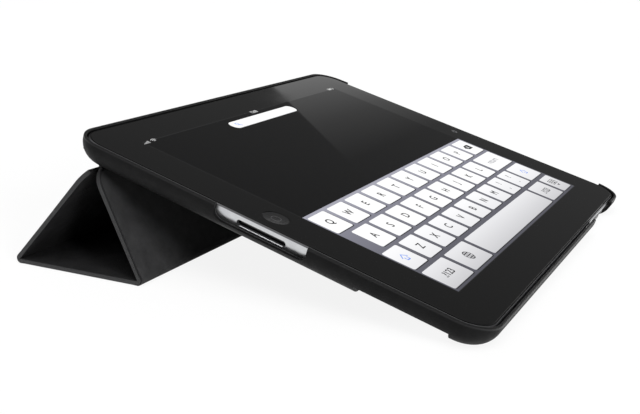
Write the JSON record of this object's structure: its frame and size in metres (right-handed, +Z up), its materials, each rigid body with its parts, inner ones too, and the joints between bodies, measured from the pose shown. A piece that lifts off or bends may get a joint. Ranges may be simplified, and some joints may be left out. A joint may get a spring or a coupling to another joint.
{
  "type": "tablet keyboard case",
  "caption": "Slim back case with a folding cover that props a tablet at a typing angle; the tablet's screen is the keyboard, and its keys and home button move.",
  "frame": {"origin": "on the table, under the middle of the whole part's box", "axes": "+X along the tablet's long side, away from the home button; +Y from the typist towards the stand; +Z up"},
  "size_m": [0.2454, 0.2206, 0.0638],
  "materials": {
    "case_shell": "soft-touch, fine leather grain",
    "case_lining": "short-pile lining",
    "cover_leather": "grained, matte",
    "board": "pressed fibre board",
    "microfibre": "soft nap",
    "steel": "plain",
    "magnet": "plated",
    "housing": "bead blasted",
    "gasket": "matte",
    "glass": "polished, black behind",
    "display": "smooth",
    "battery": "foil wrapped",
    "circuit_board": "solder mask",
    "black_plastic": "moulded",
    "camera": "dark lens",
    "button": "polished",
    "side_key": "satin"
  },
  "bodies": {
    "case": {"back_shell": "case_shell", "shell_lining": "case_lining", "spine_anchor": "cover_leather"},
    "spine": {"spine_strip": "cover_leather"},
    "panel_1": {"panel_1_leather": "cover_leather", "panel_1_board": "board", "panel_1_face": "microfibre", "catch_plate": "steel"},
    "panel_2": {"panel_2_leather": "cover_leather", "panel_2_board": "board", "panel_2_face": "microfibre"},
    "panel_3": {"panel_3_leather": "cover_leather", "panel_3_board": "board", "panel_3_face": "microfibre", "edge_magnets": "magnet", "wake_magnet": "magnet"},
    "tablet": {"tablet_housing": "housing", "glass_gasket": "gasket", "touch_glass": "glass", "display_panel": "display", "battery_cells": "battery", "logic_board": "circuit_board", "speaker_module": "black_plastic", "dock_connector": "black_plastic", "headphone_jack": "black_plastic", "microphone": "steel", "front_camera": "camera", "rear_camera": "camera", "home_bracket": "steel", "side_key_bracket": "steel", "power_bracket": "steel"},
    "home_button": {"home_button": "button"},
    "volume_rocker": {"volume_rocker": "side_key"},
    "mute_switch": {"mute_switch": "side_key"},
    "power_button": {"power_button": "side_key"}
  },
  "joints": [
    {"name": "tablet_lift", "type": "slide", "parent": "case", "child": "tablet", "axis": [0, 0.2924, -0.9563], "range_m": [-0.03, 0]},
    {"name": "cover_swing", "type": "hinge", "parent": "case", "child": "spine", "pos_m": [0, 0.0736, 0.05516], "axis": [1, 0, 0], "range_deg": [0, 234.43]},
    {"name": "panel_1_turn", "type": "hinge", "parent": "spine", "child": "panel_1", "pos_m": [0, 0.06547, 0.04805], "axis": [1, 0, 0], "range_deg": [0, 9.63]},
    {"name": "fold_1", "type": "hinge", "parent": "panel_1", "child": "panel_2", "pos_m": [0, 0.10907, 0.0012], "axis": [1, 0, 0], "range_deg": [0, 133.01]},
    {"name": "fold_2", "type": "hinge", "parent": "panel_2", "child": "panel_3", "pos_m": [0, 0.03957, 0.0012], "axis": [1, 0, 0], "range_deg": [0, 116.54]},
    {"name": "home_press", "type": "slide", "parent": "tablet", "child": "home_button", "axis": [0, 0.2924, -0.9563], "range_m": [0, 0.0004], "stiffness_N_per_m": 500, "springref_m": -0.0004},
    {"name": "volume_rock", "type": "hinge", "parent": "tablet", "child": "volume_rocker", "pos_m": [0.0694, -0.10576, 0.00521], "axis": [0, -0.2924, 0.9563], "range_deg": [-1.5, 1.5], "stiffness_Nm_per_rad": 0.05},
    {"name": "mute_slide", "type": "slide", "parent": "tablet", "child": "mute_switch", "axis": [1, 0, 0], "range_m": [0, 0.0016]},
    {"name": "power_press", "type": "slide", "parent": "tablet", "child": "power_button", "axis": [-1, 0, 0], "range_m": [0, 0.00035], "stiffness_N_per_m": 500, "springref_m": -0.0004}
  ],
  "couplings": [
    {"joint": "panel_1_turn", "follows": "cover_swing", "ratio": 0.041059},
    {"joint": "fold_1", "follows": "cover_swing", "ratio": 0.56708},
    {"joint": "fold_2", "follows": "cover_swing", "ratio": 0.49686}
  ]
}
